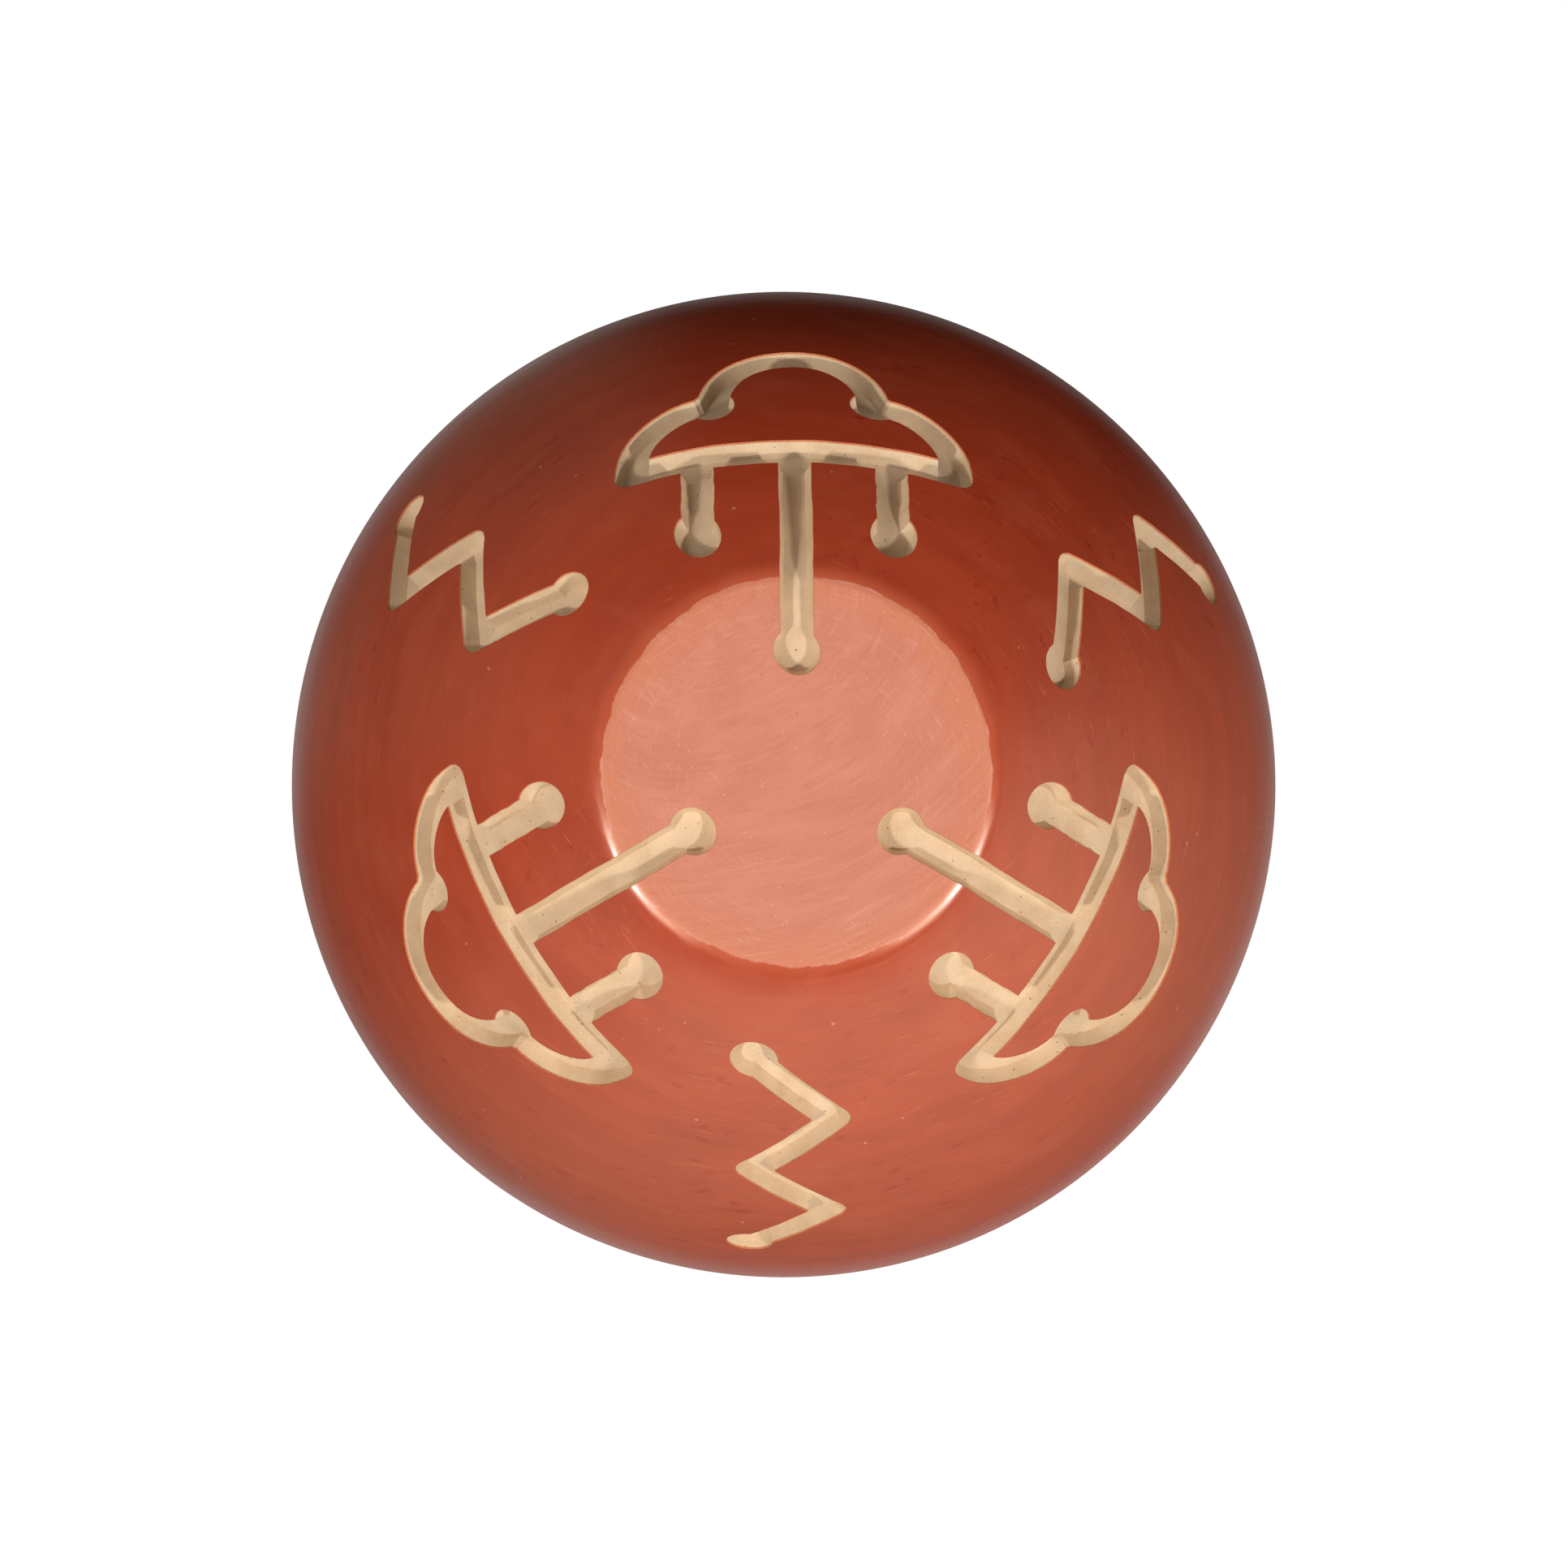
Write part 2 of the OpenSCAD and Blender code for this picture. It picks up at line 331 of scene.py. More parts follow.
# Neck coil: one thick rope that turns the shoulder up into the short neck, shaped between the
# fingers while the jar is turned.
NECK_C = (64.0, 177.99)
NECK_R = 14.0
THROAT = 180.0
CREST_STEPS = 6
NECK_STEPS = 14
BLEND_PASSES = 6
BLEND_REACH = 4


def meeting(centre, radius, other, other_radius, side):
    """Angle, about the first of two circles, of the point where they cross on one side."""
    apart = math.dist(centre, other)
    towards = math.degrees(math.atan2(other[1] - centre[1], other[0] - centre[0]))
    spread = (radius ** 2 + apart ** 2 - other_radius ** 2) / (2 * radius * apart)
    return towards + side * math.degrees(math.acos(spread))


def softened(line, corner):
    """Eases the corner in a section, as a wet thumb does."""
    line = list(line)
    for _ in range(BLEND_PASSES):
        eased = list(line)
        for i in range(max(1, corner - BLEND_REACH), min(len(line) - 1, corner + BLEND_REACH + 1)):
            before, here, after = line[i - 1], line[i], line[i + 1]
            eased[i] = tuple((a + 2 * b + c) / 4 for a, b, c in zip(before, here, after))
        line = eased
    return line


def neck_line(depth):
    """Section of the neck at a depth, from the last shoulder joint to the throat."""
    radius = SHOULDER_R - depth
    around = NECK_R + depth
    inside = depth == WALL_T
    crest = meeting(SHOULDER_C, radius, NECK_C, around, -1)
    foot = meeting(NECK_C, around, SHOULDER_C, radius, 1) % 360
    start = NECK_START - (lap_angle(radius) if inside else 0)
    end = THROAT + (lap_angle(around) if inside else 0)
    rise = arc(SHOULDER_C, radius, start, crest, CREST_STEPS)
    turn = arc(NECK_C, around, foot, end, NECK_STEPS)
    return softened(rise + turn[1:], len(rise) - 1)


low = shoulder_joint(SHOULDER_COILS)
throat = joint_step(NECK_C, NECK_R + JOINT_DEPTH, THROAT)
neck_section = neck_line(SLIP_T) + throat + neck_line(WALL_T)[::-1] + low
pieces["neck_coil"] = turned("neck_coil", neck_section, True)

# Rim coil: the last ring, flared a little and rounded over between wet fingers into a lip that
# stands just proud of the wall on both sides.
LIP_FLARE = 30.0
LIP_BULGE = 0.6
RISE_STEPS = 5
LIP_STEPS = 22
THROAT_STEPS = 8
lip_r = WALL_T / 2 + LIP_BULGE
lip_turn = math.radians(180 - LIP_FLARE)
lip_out = NECK_R + WALL_T / 2
lip_c = (NECK_C[0] + lip_out * math.cos(lip_turn), NECK_C[1] + lip_out * math.sin(lip_turn))


def lip_line(depth):
    """Section of the rim at a depth, from the throat up and over the lip to the inside."""
    radius = lip_r - depth
    rise_end = meeting(NECK_C, NECK_R + depth, lip_c, radius, 1)
    start = meeting(lip_c, radius, NECK_C, NECK_R + depth, 1)
    end = meeting(lip_c, radius, NECK_C, NECK_R + WALL_T, -1) + 360
    rise = arc(NECK_C, NECK_R + depth, THROAT, rise_end, RISE_STEPS)
    return softened(rise + arc(lip_c, radius, start, end, LIP_STEPS)[1:], len(rise) - 1)


def throat_line():
    """Inside of the rim, from the throat joint up to the lip."""
    around = NECK_R + WALL_T
    top = meeting(NECK_C, around, lip_c, lip_r - SLIP_T, 1)
    return arc(NECK_C, around, THROAT + lap_angle(around), top, THROAT_STEPS)


rim_section = lip_line(SLIP_T) + throat_line()[::-1][1:] + throat
pieces["rim_coil"] = turned("rim_coil", rim_section, True)

# Red slip: a coat of fine iron-rich clay, wiped over the dry jar from the foot to the lip and
# rubbed with a smooth stone until it shines.
SAME_PLACE = 1e-6
BASE_EDGE_POINT = FLAT_STEPS + 2
base_edge = foot_line(0.0)[BASE_EDGE_POINT][0]


def coat_line(depth):
    """Section of the whole outside at a depth, from the edge of the base up over the lip."""
    line = [point for point in foot_line(depth) if point[0] > base_edge - SAME_PLACE]
    line += wall_line(depth, 0, WALL_COILS)[1:]
    line += shoulder_line(depth, 0, SHOULDER_COILS)[1:]
    line += neck_line(depth)[1:]
    return line + lip_line(depth)[1:]


outside = coat_line(0.0)
pieces["red_slip"] = turned("red_slip", outside + coat_line(SLIP_T)[::-1], True)

# Hair-thin marks that all lie one way, as a hard grain in the cloth or the stone leaves them
scratches, give, take = new_effect("scratches", ("Turn", "Along", "Across"), ("Marks",))
turned_way = {"Vector": give["Place"], "Angle": give["Turn"]}
turned_way = add_node(scratches, "ShaderNodeVectorRotate", turned_way, rotation_type="Z_AXIS")
axes = add_node(scratches, "ShaderNodeSeparateXYZ", {0: turned_way.outputs[0]}).outputs
pulled = {}
for i, key in enumerate(("Along", "Across", "Along")):
    pulled[i] = calc(scratches, "MULTIPLY", axes[i], give[key])
pulled = add_node(scratches, "ShaderNodeCombineXYZ", pulled).outputs[0]
scratches.links.new(noise(scratches, pulled, 1.0, 1.0), take["Marks"])

# Burnished red: streaks around the jar where the stone went, hazy bands, darker patches and
# stains, and clusters of fine scratches where it dragged on the coat
RED_DEEP, RED_LIGHT = (0.402, 0.0455, 0.0160, 1), (0.451, 0.0545, 0.0192, 1)
RED_PATCH = (0.28, 0.029, 0.012, 1)
RED_HAZE = (0.49, 0.088, 0.043, 1)
RED_STAIN = (0.33, 0.020, 0.009, 1)
RED_STREAK = (0.52, 0.091, 0.034, 1)
RED_DRAG = (0.66, 0.150, 0.050, 1)
RED_HAIR = (0.58, 0.15, 0.06, 1)
RED_GRIT = (0.62, 0.35, 0.20, 1)
THINNED = (0.60, 0.140, 0.062, 1)
WORN_EDGE = (0.585, 0.178, 0.098, 1)
SCUFFED = (0.72, 0.34, 0.27, 1)
burnished_red, tree, sockets, where = new_material("burnished_red")
fine = effect(tree, rub_marks, where, Around=5.0, Across=1000.0, Drift=0.008)["Marks"]
broad = effect(tree, rub_marks, where, Around=2.0, Across=150.0, Drift=0.008)["Marks"]
haze = effect(tree, rub_marks, where, Around=3.0, Across=60.0, Drift=0.06)["Marks"]
stains = effect(tree, rub_marks, where, Around=13.0, Across=330.0, Drift=0.02)["Marks"]
drags = effect(tree, rub_marks, where, Around=9.0, Across=2400.0, Drift=0.05)["Marks"]
hairs = effect(tree, scratches, where, Turn=0.7, Along=70.0, Across=1900.0)["Marks"]
grit = effect(tree, clay_grit, where, Fine=2500.0, Cells=420.0, Rarity=0.985)
patches = ranged(tree, noise(tree, where, 26.0, 2.0), 0.50, 0.72)
tone = mixed(tree, ranged(tree, broad, 0.30, 0.70), RED_DEEP, RED_LIGHT)
tone = mixed(tree, calc(tree, "MULTIPLY", patches, 0.30), tone, RED_PATCH)
tone = mixed(tree, ranged(tree, haze, 0.50, 0.72, 0.0, 0.36), tone, RED_HAZE)
stained = ranged(tree, noise(tree, where, 19.0), 0.50, 0.60)
stained = calc(tree, "MULTIPLY", ranged(tree, stains, 0.60, 0.70), stained)
tone = mixed(tree, calc(tree, "MULTIPLY", stained, 0.7), tone, RED_STAIN)
tone = mixed(tree, ranged(tree, fine, 0.58, 0.82, 0.0, 0.32), tone, RED_STREAK)
dragged = ranged(tree, noise(tree, where, 24.0), 0.46, 0.60)
dragged = calc(tree, "MULTIPLY", ranged(tree, drags, 0.60, 0.74), dragged)
tone = mixed(tree, calc(tree, "MULTIPLY", dragged, 0.6), tone, RED_DRAG)
tone = mixed(tree, ranged(tree, hairs, 0.72, 0.80, 0.0, 0.25), tone, RED_HAIR)
tone = mixed(tree, calc(tree, "MULTIPLY", grit["Pits"], 0.5), tone, RED_GRIT)
# Ragged edge of the coat around the base, worn thin where the jar stands, by its distance from
# the axis in metres
_, radius = from_axis(tree, where)
wander = calc(tree, "MULTIPLY", calc(tree, "SUBTRACT", noise(tree, where, 110.0), 0.5), 0.0020)
ragged = calc(tree, "MULTIPLY", calc(tree, "SUBTRACT", noise(tree, where, 900.0), 0.5), 0.0004)
worn = calc(tree, "ADD", radius, calc(tree, "ADD", wander, ragged))
tone = mixed(tree, ranged(tree, worn, 0.0372, 0.0412, 0.38, 0.0), tone, THINNED)
bare = ranged(tree, worn, 0.0371, 0.0375, 1.0, 0.0)
tone = mixed(tree, bare, tone, WORN_EDGE)
scuff = ranged(tree, worn, 0.0373, 0.0377, 1.0, 0.0)
scuff = calc(tree, "MULTIPLY", ranged(tree, worn, 0.0369, 0.0372), scuff)
broken = ranged(tree, noise(tree, where, 300.0, 4.0, 0.7), 0.44, 0.66, 0.0, 0.5)
tone = mixed(tree, calc(tree, "MULTIPLY", scuff, broken), tone, SCUFFED)
tree.links.new(tone, sockets["Base Color"])
shine = ranged(tree, fine, 0.3, 0.75, 0.17, 0.27)
shine = calc(tree, "ADD", shine, calc(tree, "MULTIPLY", bare, 0.22))
tree.links.new(shine, sockets["Roughness"])
tree.links.new(bump(tree, fine, 0.12, 0.00004), sockets["Normal"])

# Base slip: a thin coat of pale pink clay on the underside, left as the cloth wiped it. It was
# never rubbed with the stone, so it is matte.
base_section = [point for point in foot_line(0.0) if point[0] < base_edge + SAME_PLACE]
base_back = [point for point in foot_line(SLIP_T) if point[0] < base_edge + SAME_PLACE]
pieces["base_slip"] = turned("base_slip", base_section + base_back[::-1], False)

# Matte pink: strokes of the wiping cloth, rings at the edge, scratches, pits and chalky specks
PINK_DEEP, PINK_LIGHT = (0.545, 0.172, 0.106, 1), (0.600, 0.207, 0.132, 1)
PINK_EDGE = (0.585, 0.176, 0.086, 1)
PINK_BLOTCH = (0.62, 0.170, 0.060, 1)
PINK_RING = (0.70, 0.285, 0.195, 1)
PINK_MOTTLE = (0.66, 0.262, 0.180, 1)
PINK_STROKE, PINK_GAP = (0.70, 0.29, 0.205, 1), (0.47, 0.125, 0.075, 1)
PINK_SCRATCH = (0.80, 0.42, 0.32, 1)
PINK_PIT = (0.40, 0.10, 0.06, 1)
CHALK = (0.88, 0.68, 0.58, 1)
STROKE_CENTRE = (0.018, 0.038, 0)
matte_pink, tree, sockets, where = new_material("matte_pink")
swung = {0: where, 1: STROKE_CENTRE}
swung = add_node(tree, "ShaderNodeVectorMath", swung, operation="ADD").outputs[0]
strokes = effect(tree, rub_marks, swung, Around=4.0, Across=1700.0, Drift=0.010)["Marks"]
sweeps = effect(tree, rub_marks, swung, Around=3.0, Across=260.0, Drift=0.03)["Marks"]
rings = effect(tree, rub_marks, where, Around=5.0, Across=2300.0, Drift=0.004)["Marks"]
hairs = effect(tree, scratches, where, Turn=0.6, Along=55.0, Across=2600.0)["Marks"]
cross = effect(tree, scratches, where, Turn=-0.9, Along=80.0, Across=2400.0)["Marks"]
grit = effect(tree, clay_grit, where, Fine=1700.0, Cells=600.0, Rarity=0.965)
chalk = effect(tree, clay_grit, where, Fine=1700.0, Cells=1500.0, Rarity=0.972)
_, radius = from_axis(tree, where)
radius = calc(tree, "ADD", radius, calc(tree, "MULTIPLY", noise(tree, where, 45.0), 0.012))
tone = mixed(tree, ranged(tree, sweeps, 0.3, 0.7), PINK_DEEP, PINK_LIGHT)
edge = ranged(tree, radius, 0.034, 0.042, 0.0, 0.75)
tone = mixed(tree, edge, tone, PINK_EDGE)
blotch = ranged(tree, noise(tree, where, 130.0, 4.0, 0.65), 0.53, 0.66)
blotch = calc(tree, "MULTIPLY", blotch, edge)
tone = mixed(tree, calc(tree, "MULTIPLY", blotch, 0.6), tone, PINK_BLOTCH)
rings = ranged(tree, rings, 0.52, 0.76, 0.0, 0.40)
rings = calc(tree, "MULTIPLY", rings, ranged(tree, radius, 0.020, 0.030))
tone = mixed(tree, rings, tone, PINK_RING)
mottle = ranged(tree, noise(tree, where, 2600.0, 2.0), 0.46, 0.74, 0.0, 0.40)
tone = mixed(tree, mottle, tone, PINK_MOTTLE)
tone = mixed(tree, ranged(tree, strokes, 0.52, 0.76, 0.0, 0.34), tone, PINK_STROKE)
tone = mixed(tree, ranged(tree, strokes, 0.44, 0.24, 0.0, 0.40), tone, PINK_GAP)
for marks in (hairs, cross):
    tone = mixed(tree, ranged(tree, marks, 0.70, 0.79, 0.0, 0.3), tone, PINK_SCRATCH)
tone = mixed(tree, calc(tree, "MULTIPLY", grit["Pits"], 0.6), tone, PINK_PIT)
tone = mixed(tree, calc(tree, "MULTIPLY", chalk["Pits"], 0.7), tone, CHALK)
tree.links.new(tone, sockets["Base Color"])
tree.links.new(ranged(tree, strokes, 0.3, 0.7, 0.62, 0.46), sockets["Roughness"])
height = calc(tree, "ADD", strokes, calc(tree, "MULTIPLY", grit["Grain"], 0.4))
tree.links.new(bump(tree, height, 0.35, 0.00008), sockets["Normal"])

# Carving: channels cut with a knife through the coat into the leather-hard clay, about 4 mm
# deep. They have steep sides, a scraped flat floor, and ends cut round with the tip of the tool.
CUT_ABOVE = 1.6
CUT_HALF = 3.25
END_R = 4.6
LOBE_R = 16.0
RAIN_PITCH = 19.0
CLOUD_LEAN = 50.0
LIGHTNING_LEAN = 53.0
LIGHTNING_STEP = 16.0
FEATHER_LEAN = 36.0
FEATHER_L = 27.0
FEATHER_W = 11.0
CLOUDS = 3
FEATHERS = 18
RAIN_LENGTH = 18.0
BASE_RAIN_END = 23.0
RAIN_START, BASE_RAIN_START = 4.6, 3.0
LOBE_STEPS = 12
RAIN_STEPS = 16
LIGHTNING_STEPS = 8
OUTLINE_STEPS = 14
END_TURNS = (80, 55, 30)
END_OPEN = 6
FEATHER_OPEN = 0.02
FEATHER_SHARP = 1.9
FEATHER_FULL = 0.85
NARROWEST, NARROWEST_END, NARROWEST_TIP = 0.15, 0.25, 0.05
SHARPEST_TURN = 0.72
PLACE_PASSES = 12
# Depth of each outline of a cut, and how far it lies inside the outline at the surface
CHANNEL_LEVELS = [(-CUT_ABOVE, -0.4), (0.0, 0.0), (2.0, 0.42), (3.75, 0.95), (3.9, 1.9)]
SCOOP_LEVELS = [(-CUT_ABOVE, -0.4), (0.0, 0.0), (2.0, 0.38), (3.85, 0.9), (4.0, 2.6)]
FEATHER_LEVELS = [(-CUT_ABOVE, -0.7), (0.0, 0.0), (2.0, 0.7), (3.6, 1.5), (3.75, 3.2)]
TILT = 0.18


def on_arc(turn, centre, radius, lean):
    """Places a flat drawing, and a depth, square on the wall at a point of its section."""
    across, up = math.cos(math.radians(lean)), math.sin(math.radians(lean))
    point = (centre[0] + radius * across, centre[1] + radius * up)

    def place(u, v, depth):
        w = 0.0
        for _ in range(PLACE_PASSES):
            x = point[0] - v * up + w * across
            z = point[1] + v * across + w * up
            r = math.hypot(x, u)
            out = math.hypot(r - centre[0], z - centre[1])
            slope = ((r - centre[0]) * across * x / r + (z - centre[1]) * up) / out
            w -= (out - radius) / slope
        n_r, n_z = (r - centre[0]) / out, (z - centre[1]) / out
        x, y, z = x - depth * n_r * x / r, u - depth * n_r * u / r, z - depth * n_z
        return Matrix.Rotation(math.radians(turn), 3, "Z") @ Vector((x, y, z))
    return place


def under_jar(turn):
    """Places a drawing that is seen from straight below, and a depth, on the base and the wall."""
    edge_c, _ = corner_round(0.0, FOOT_ROUND, WALL_R)
    wall_start = WALL_C[0] + (edge_c[0] - WALL_C[0]) * WALL_R / (WALL_R - FOOT_ROUND)

    def place(u, v, depth):
        r = max(math.hypot(u, v), 1e-6)
        if r < edge_c[0]:
            n_r, n_z, z = 0.0, -1.0, 0.0
        elif r < wall_start:
            n_r = (r - edge_c[0]) / FOOT_ROUND
            n_z = -math.sqrt(1 - n_r ** 2)
            z = edge_c[1] + FOOT_ROUND * n_z
        else:
            n_r = (r - WALL_C[0]) / WALL_R
            n_z = -math.sqrt(1 - n_r ** 2)
            z = WALL_C[1] + WALL_R * n_z
        x, y, z = v - depth * n_r * v / r, u - depth * n_r * u / r, z - depth * n_z
        return Matrix.Rotation(math.radians(turn), 3, "Z") @ Vector((x, y, z))
    return place


def stroke(path, half, inset, tilt):
    """Left and right outline of a stroke along a path, with round ends, drawn in from its edge."""
    path = [Vector(p) for p in path]
    left, right = [], []
    count = len(path)
    for i, p in enumerate(path):
        back = (p - path[i - 1]).normalized() if i else (path[1] - p).normalized()
        ahead = (path[i + 1] - p).normalized() if i < count - 1 else back
        along = (back + ahead).normalized()
        side = Vector((-along.y, along.x)) / max(along.dot(ahead), SHARPEST_TURN)
        sway = 1 + 0.022 * math.sin(0.8 * i + 3 * half) + 0.016 * math.sin(1.9 * i + p.x)
        wide_l = half * sway - inset * (1 + tilt)
        wide_r = half * (2 - sway) - inset * (1 - tilt)
        wide_l, wide_r = max(wide_l, NARROWEST), max(wide_r, NARROWEST)
        if i == 0:
            for a in END_TURNS:
                reach = math.sin(math.radians(a)) * along
                left.append(p - wide_l * reach + wide_l * math.cos(math.radians(a)) * side)
                right.append(p - wide_r * reach - wide_r * math.cos(math.radians(a)) * side)
        left.append(p + wide_l * side)
        right.append(p - wide_r * side)
        if i == count - 1:
            for a in END_TURNS[::-1]:
                reach = math.sin(math.radians(a)) * along
                left.append(p + wide_l * reach + wide_l * math.cos(math.radians(a)) * side)
                right.append(p + wide_r * reach - wide_r * math.cos(math.radians(a)) * side)
    return left, right


def scoop(middle, radius, inset, lean):
    """Left and right outline of a round end, a little out of true."""
    size = max(radius - inset, NARROWEST_END)
    left, right = [], []
    for i in range(OUTLINE_STEPS + 1):
        a = math.radians(END_OPEN + (180 - 2 * END_OPEN) * i / OUTLINE_STEPS)
        for side, half in ((1, left), (-1, right)):
            spread = size * (1 + 0.04 * math.sin(2 * side * a + lean))
            half.append(Vector(middle) + spread * Vector((-math.cos(a), side * math.sin(a))))
    return left, right


def feather(inset):
    """Left and right outline of a pointed oval."""
    length, width = FEATHER_L / 2 - FEATHER_SHARP * inset, FEATHER_W / 2 - inset
    left, right = [], []
    for i in range(OUTLINE_STEPS + 1):
        share = FEATHER_OPEN + (1 - 2 * FEATHER_OPEN) * i / OUTLINE_STEPS
        v = -math.cos(math.pi * share)
        half = width * (1 - v * v) ** FEATHER_FULL + NARROWEST_TIP
        left.append(Vector((-half, length * v)))
        right.append(Vector((half, length * v)))
    return left, right


def cutter(group, place, outlines):
    """Solid that a cut takes away, from outlines at rising depths, kept in a group of tools."""
    mesh = bmesh.new()
    rows = []
    for depth, halves in outlines:
        row = []
        for half in halves:
            row.append([mesh.verts.new(place(p.x, p.y, depth) * MM) for p in half])
        rows.append(row)
    count = len(rows[0][0])
    for upper, lower in zip(rows, rows[1:]):
        for above, below in zip(upper, lower):
            for j in range(count - 1):
                mesh.faces.new((above[j], above[j + 1], below[j + 1], below[j]))
        for j in (0, count - 1):
            mesh.faces.new((upper[0][j], upper[1][j], lower[1][j], lower[0][j]))
    for row in (rows[0], rows[-1]):
        for j in range(count - 1):
            mesh.faces.new((row[0][j], row[0][j + 1], row[1][j + 1], row[1][j]))
    bmesh.ops.recalc_face_normals(mesh, faces=mesh.faces)
    # The faces of a cut take the second material of the piece that is cut
    for face in mesh.faces:
        face.material_index = 1
    data = bpy.data.meshes.new("cut")
    mesh.to_mesh(data)
    mesh.free()
    data.materials.append(carved_clay)
    data.materials.append(carved_clay)
    group.objects.link(bpy.data.objects.new("cut", data))


def channel(group, place, path):
    """Cut along a path, with one side a little steeper than the other."""
    outlines = [(d, stroke(path, CUT_HALF, inset, TILT)) for d, inset in CHANNEL_LEVELS]
    cutter(group, place, outlines)


def round_end(group, place, middle, lean):
    """Round hollow, turned out with the tip of the tool."""
    outlines = [(d, scoop(middle, END_R, inset, lean)) for d, inset in SCOOP_LEVELS]
    cutter(group, place, outlines)


def straight(start, end, steps):
    """Path from one point of a drawing to another."""
    return [tuple(a + (b - a) * i / steps for a, b in zip(start, end)) for i in range(steps + 1)]


# Bare clay in the cuts, dry and gritty
BARE_DARK, BARE_LIGHT = (0.68, 0.475, 0.290, 1), (0.78, 0.575, 0.370, 1)
BARE_GRAIN = (0.86, 0.69, 0.49, 1)
BARE_PIT = (0.24, 0.13, 0.07, 1)
carved_clay, tree, sockets, where = new_material("carved_clay")
grit = effect(tree, clay_grit, where, Fine=2200.0, Cells=800.0, Rarity=0.9)
cloudy = noise(tree, where, 160.0)
tone = mixed(tree, ranged(tree, cloudy, 0.3, 0.7), BARE_DARK, BARE_LIGHT)
tone = mixed(tree, ranged(tree, grit["Grain"], 0.45, 0.75, 0.0, 0.5), tone, BARE_GRAIN)
tone = mixed(tree, calc(tree, "MULTIPLY", grit["Pits"], 0.75), tone, BARE_PIT)
tree.links.new(tone, sockets["Base Color"])
tree.links.new(ranged(tree, grit["Grain"], 0.2, 0.8, 0.80, 0.95), sockets["Roughness"])
height = calc(tree, "SUBTRACT", grit["Grain"], calc(tree, "MULTIPLY", grit["Pits"], 1.5))
tree.links.new(bump(tree, height, 0.6, 0.00015), sockets["Normal"])

# Edge of the coat where the tool went through it, more orange than its polished face
CUT_DARK, CUT_LIGHT = (0.52, 0.13, 0.045, 1), (0.66, 0.24, 0.10, 1)
cut_slip, tree, sockets, where = new_material("cut_slip")
grit = effect(tree, clay_grit, where, Fine=2600.0, Cells=700.0, Rarity=0.9)
tone = mixed(tree, ranged(tree, grit["Grain"], 0.3, 0.7), CUT_DARK, CUT_LIGHT)
tree.links.new(tone, sockets["Base Color"])
tree.links.new(ranged(tree, grit["Grain"], 0.2, 0.8, 0.6, 0.85), sockets["Roughness"])
tree.links.new(bump(tree, grit["Grain"], 0.4, 0.0001), sockets["Normal"])

# Clouds with their rain lines, strokes of lightning between them, and the shoulder's feathers
lower_cuts = bpy.data.collections.new("lower_cuts")
shoulder_cuts = bpy.data.collections.new("shoulder_cuts")
cloud_r = WALL_C[0] + WALL_R * math.cos(math.radians(CLOUD_LEAN - 90))
cloud_r -= LOBE_R * math.cos(math.radians(CLOUD_LEAN))
rain_end = cloud_r - RAIN_LENGTH
cloud_steps = 2 * LOBE_STEPS
corners = []
for k in range(-2, 3):
    swing = 0.5 if k % 2 == 0 else -0.5
    corners.append((LIGHTNING_STEP * swing, LIGHTNING_STEP * k))
for i in range(CLOUDS):
    turn = i * 360 / CLOUDS - 90
    wall = on_arc(turn, WALL_C, WALL_R, CLOUD_LEAN - 90)
    foot = straight((-2 * LOBE_R, -LOBE_R), (2 * LOBE_R, -LOBE_R), cloud_steps)
    channel(lower_cuts, wall, foot)
    channel(lower_cuts, wall, arc((LOBE_R, -LOBE_R), LOBE_R, 0, 90, LOBE_STEPS))
    channel(lower_cuts, wall, arc((0, 0), LOBE_R, 0, 180, cloud_steps))
    channel(lower_cuts, wall, arc((-LOBE_R, -LOBE_R), LOBE_R, 90, 180, LOBE_STEPS))
    for side in (-1, 1):
        round_end(lower_cuts, wall, (side * LOBE_R, 0), side + i)
    below = under_jar(turn)
    for offset, end in ((-RAIN_PITCH, rain_end), (0, BASE_RAIN_END), (RAIN_PITCH, rain_end)):
        start = cloud_r - (RAIN_START if offset else BASE_RAIN_START)
        channel(lower_cuts, below, straight((offset, start), (offset, end), RAIN_STEPS))
        round_end(lower_cuts, below, (offset, end), offset + i)
    wall = on_arc(turn + 180 / CLOUDS, WALL_C, WALL_R, LIGHTNING_LEAN - 90)
    for here, there in zip(corners, corners[1:]):
        channel(lower_cuts, wall, straight(here, there, LIGHTNING_STEPS))
    for end in (corners[0], corners[-1]):
        round_end(lower_cuts, wall, end, i)
for i in range(FEATHERS):
    place = on_arc(i * 360 / FEATHERS, SHOULDER_C, SHOULDER_R, FEATHER_LEAN)
    cutter(shoulder_cuts, place, [(d, feather(inset)) for d, inset in FEATHER_LEVELS])

# Each piece that the channels cross is cut by the same tools, so that the cuts meet at the seams
OWN_FINISH = {"red_slip": burnished_red, "base_slip": matte_pink}
for name, piece in pieces.items():
    piece.data.materials.append(OWN_FINISH.get(name, inner_clay))
    piece.data.materials.append(cut_slip if name in OWN_FINISH else carved_clay)
    groups = []
    if name.startswith(("base", "wall", "red")):
        groups.append(lower_cuts)
    if name.startswith(("shoulder", "red")):
        groups.append(shoulder_cuts)
    bpy.context.view_layer.objects.active = piece
    for group in groups:
        cut = piece.modifiers.new("carving", "BOOLEAN")
        cut.operation = "DIFFERENCE"
        cut.operand_type = "COLLECTION"
        cut.collection = group
        cut.solver = "MANIFOLD"
        cut.material_mode = "INDEX"
        bpy.ops.object.modifier_apply(modifier=cut.name)
for group in (lower_cuts, shoulder_cuts):
    for tool in list(group.objects):
        bpy.data.meshes.remove(tool.data)
    bpy.data.collections.remove(group)

